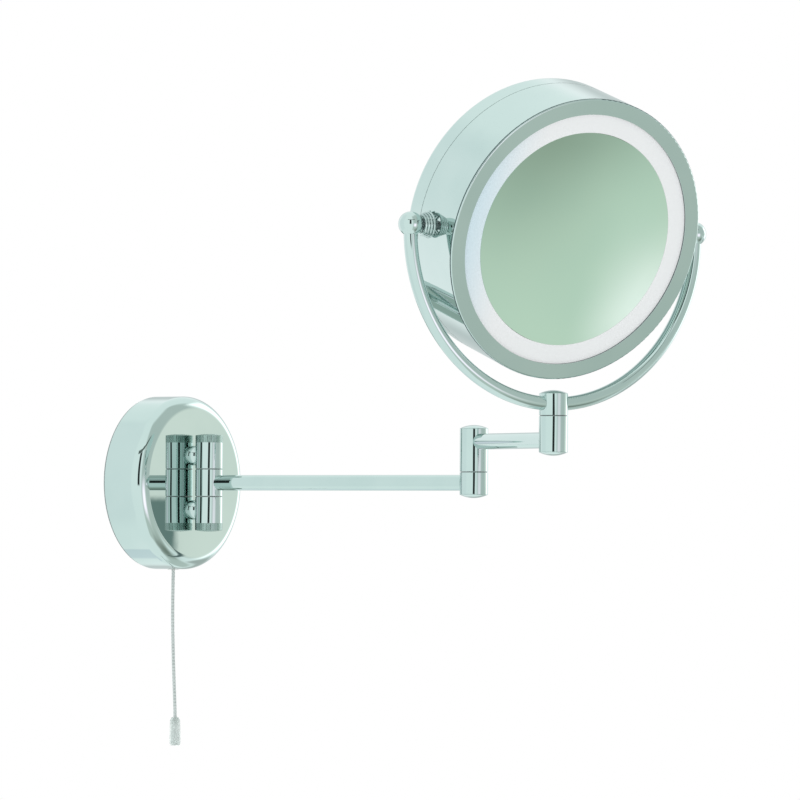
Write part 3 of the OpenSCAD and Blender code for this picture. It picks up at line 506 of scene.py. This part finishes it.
def cordMaterial(c):
    material, n, shader = newMaterial("braidedCord")
    x, y, z = n.split(n.place())[0:3]
    climb = n.math("MULTIPLY", z, c["pitch"])
    swing = n.math("MULTIPLY", n.math("ADD", x, y), c["pitch"])
    one = n.math("SINE", n.math("ADD", climb, swing))
    two = n.math("SINE", n.math("SUBTRACT", climb, swing))
    braid = n.math("MAXIMUM", one, two)
    # painted shade: the colour darkens where the braid sinks between strands
    n.paint(shader, n.ramp(braid, *c["paintedGrooveSpan"]), c["paintedGrooveShade"], c["light"])
    shader.inputs["Roughness"].default_value = c["rough"]
    shader.inputs["Sheen Weight"].default_value = c["sheen"]
    n.emboss(shader, braid, c["depth"])
    return material


# clear moulded plastic of the knob, slightly milky with flow marks along its length
clearSet = {"base": (0.80, 0.84, 0.82), "milk": (0.86, 0.89, 0.87), "rough": (0.05, 0.14),
            "through": 0.5, "bend": 1.49, "flow": 250, "flowStretch": (1, 1, 0.3)}


def clearMaterial(c):
    material, n, shader = newMaterial("clearPlastic")
    flow = n.noise(n.stretch(n.place(), c["flowStretch"]), c["flow"], 3)
    n.paint(shader, n.spread(flow), c["base"], c["milk"])
    n.polish(shader, flow, c["rough"])
    shader.inputs["Transmission Weight"].default_value = c["through"]
    shader.inputs["IOR"].default_value = c["bend"]
    return material


finishes = {
    "chrome": chromeMaterial("polishedChrome", chromeSet),
    "plated_steel": platedMaterial(platedSet),
    "frosted_diffuser": diffuserMaterial(diffuserSet),
    "cord": cordMaterial(cordSet),
    "clear_plastic": clearMaterial(clearSet),
}
for slotName, values in metalSets.items():
    finishes[slotName] = metalMaterial(values)
for slotName, values in plasticSets.items():
    finishes[slotName] = plasticMaterial(slotName, values)
# a few nodes have a finish of their own
paleSeal = plasticMaterial("paleSeal", sealSet)
ownFinish = {
    "shoulder_caps": knurledMaterial(knurlSet),
    "rear_seal": paleSeal,
    "wall_gasket": paleSeal,
    "wall_cover": chromeMaterial("coverChrome", chromeSet, ripple=0.004, rough=(0.002, 0.008)),
    "front_bezel": bezelMaterial(bezelSet, chromeSet),
}


def dress(obj, material):
    obj.data.materials.clear()
    obj.data.materials.append(material)


for part in frame["record"]["subparts"]:
    nodeName = part["node"]
    dress(nodes[nodeName], ownFinish.get(nodeName, finishes[part["material_slot"]]))
dress(pullCord, finishes["cord"])
dress(knotTail, finishes["cord"])
dress(clearKnob, finishes["clear_plastic"])
for spring in pivotSprings:
    dress(spring, finishes["spring_steel"])
print("materials set:", len(finishes) + len(ownFinish))

# the studio: a white room with the dark and bright things that polished metal mirrors;
# az and el are (middle, half width) in degrees, az 0 is straight out from the wall
studioSet = {"wall": (1.03, 1.12, 1.11), "background": (1.0, 1.0, 1.0)}
studioThings = [
    {"az": (-150, 30), "el": (10, 50), "soft": 8, "light": (0.97, 1.06, 1.06)},  # light box on the left
    {"az": (15, 45), "el": (28, 40), "soft": 8, "light": (0.64, 0.72, 0.69)},  # upper front
    {"az": (2.5, 32.5), "el": (-32, 27), "soft": 5, "light": (0.69, 0.77, 0.72)},  # grey floor in front
    {"az": (65, 45), "el": (-52, 14), "soft": 5, "light": (0.66, 0.74, 0.70)},  # grey floor to the right
    {"az": (20, 22), "el": (-50, 10), "soft": 10, "light": (0.42, 0.47, 0.43)},  # deep floor
    {"az": (31, 14), "el": (-42, 14), "soft": 14, "light": (0.27, 0.32, 0.28)},  # deep corner
    {"az": (-10, 12), "el": (-12, 12), "soft": 9, "light": (1.75, 1.5, 1.7)},  # glow on the floor
    {"az": (72, 15), "el": (7.5, 22.5), "soft": 6, "light": (2.0, 2.0, 2.0)},  # bright backdrop
    {"az": (145, 45), "el": (5, 30), "soft": 6, "light": (1.12, 1.16, 1.17)},  # back wall
    {"az": (125, 22), "el": (0, 25), "soft": 8, "light": (0.66, 0.72, 0.72)},  # edge of the backdrop
    {"az": (55, 9), "el": (0, 9), "soft": 6, "light": (0.98, 1.03, 0.96)},  # face glow
    {"az": (95, 35), "el": (-27, 7), "soft": 4, "light": (0.55, 0.6, 0.58)},  # lower right
    {"az": (152, 14), "el": (-48, 6), "soft": 2, "light": (0.84, 0.94, 0.98)},  # pale corner
    {"az": (51, 1.2), "lean": 0.2, "el": (-28, 28), "soft": 0.8, "light": (0.15, 0.2, 0.2)},  # dark line
    {"az": (51.8, 0.88), "el": (-1.7, 2.0), "soft": 0.04, "light": (0.20, 0.29, 0.27)},  # dark door
    {"az": (-45, 40), "el": (36.5, 2.2), "soft": 0.8, "light": (0.15, 0.18, 0.17)},  # camera bar
    {"az": (-54.7, 8.5), "el": (15.5, 18.5), "soft": 1.5, "light": (0.03, 0.035, 0.035)},  # camera stand
]


def makeStudio(s, things):
    world = bpy.data.worlds.new("studio")
    bpy.context.scene.world = world
    world.use_nodes = True
    world.node_tree.nodes.clear()
    n = Nodes(world.node_tree)

    def within(offset, half, soft):
        return n.ramp(n.math("ABSOLUTE", offset), radians(half - soft), radians(half + soft), 1, 0)

    x, y, z = n.split(n.add("ShaderNodeTexCoord").outputs["Generated"])[0:3]
    around = n.math("ARCTAN2", x, n.math("MULTIPLY", y, -1))
    height = n.math("ARCSINE", z)
    light = colour(*s["wall"])
    for t in things:
        (az, azHalf), (el, elHalf) = t["az"], t["el"]
        middle = n.math("MULTIPLY_ADD", height, t.get("lean", 0), radians(az))
        aside = n.math("WRAP", n.math("SUBTRACT", around, middle), pi, -pi)
        above = n.math("SUBTRACT", height, radians(el))
        inside = n.math("MULTIPLY", within(aside, azHalf, t["soft"]), within(above, elHalf, t["soft"]))
        light = n.mix(inside, light, colour(*t["light"]))
    cameraRay = n.add("ShaderNodeLightPath").outputs["Is Camera Ray"]
    sky = n.add("ShaderNodeBackground")
    n.feed(sky.inputs["Color"], n.mix(cameraRay, light, colour(*s["background"])))
    n.tree.links.new(sky.outputs[0], n.add("ShaderNodeOutputWorld").inputs[0])


floorSet = {"below": 0.35, "radius": 2.2, "centreY": -0.2, "sides": 64, "patch": 3, "rough": 0.8,
            "light": (0.86, 0.87, 0.87), "dark": (0.82, 0.83, 0.83)}


def makeFloor(f):
    points = []
    for k in range(f["sides"]):
        a = 2 * pi * k / f["sides"]
        points.append((f["radius"] * cos(a), f["radius"] * sin(a) + f["centreY"], cadLow[2] - f["below"]))
    floor = addMesh("studioFloor", points, [list(range(f["sides"]))])
    material, n, shader = newMaterial("paleFloor")
    n.paint(shader, n.noise(n.place(), f["patch"], 4), f["light"], f["dark"])
    shader.inputs["Roughness"].default_value = f["rough"]
    dress(floor, material)
    floor.visible_glossy = False


makeStudio(studioSet, studioThings)
makeFloor(floorSet)
bpy.context.scene.view_settings.view_transform = "Standard"
print("studio lit")

# turned and pressed edges are eased, so that each catches a line of light
easedSet = {"width": 0.00022, "segments": 2, "angle": 38, "merge": 0.00001, "weight": 100,
            "nodes": ["shoulder_knuckles", "shoulder_barrel", "shoulder_caps", "elbow_lower_barrel",
                      "elbow_upper_barrel", "elbow_cap_bottom", "elbow_cap_top", "wrist_lower_barrel",
                      "wrist_upper_barrel", "wrist_cap_bottom", "wrist_cap_top"]}


def easeEdges(e):
    for name in e["nodes"]:
        weld = nodes[name].modifiers.new("weld", "WELD")
        weld.merge_threshold = e["merge"]
        bevel = nodes[name].modifiers.new("bevel", "BEVEL")
        bevel.width = e["width"]
        bevel.segments = e["segments"]
        bevel.limit_method = "ANGLE"
        bevel.angle_limit = radians(e["angle"])
        level = nodes[name].modifiers.new("level", "WEIGHTED_NORMAL")
        level.weight = e["weight"]


easeEdges(easedSet)
print("edges eased:", len(easedSet["nodes"]))
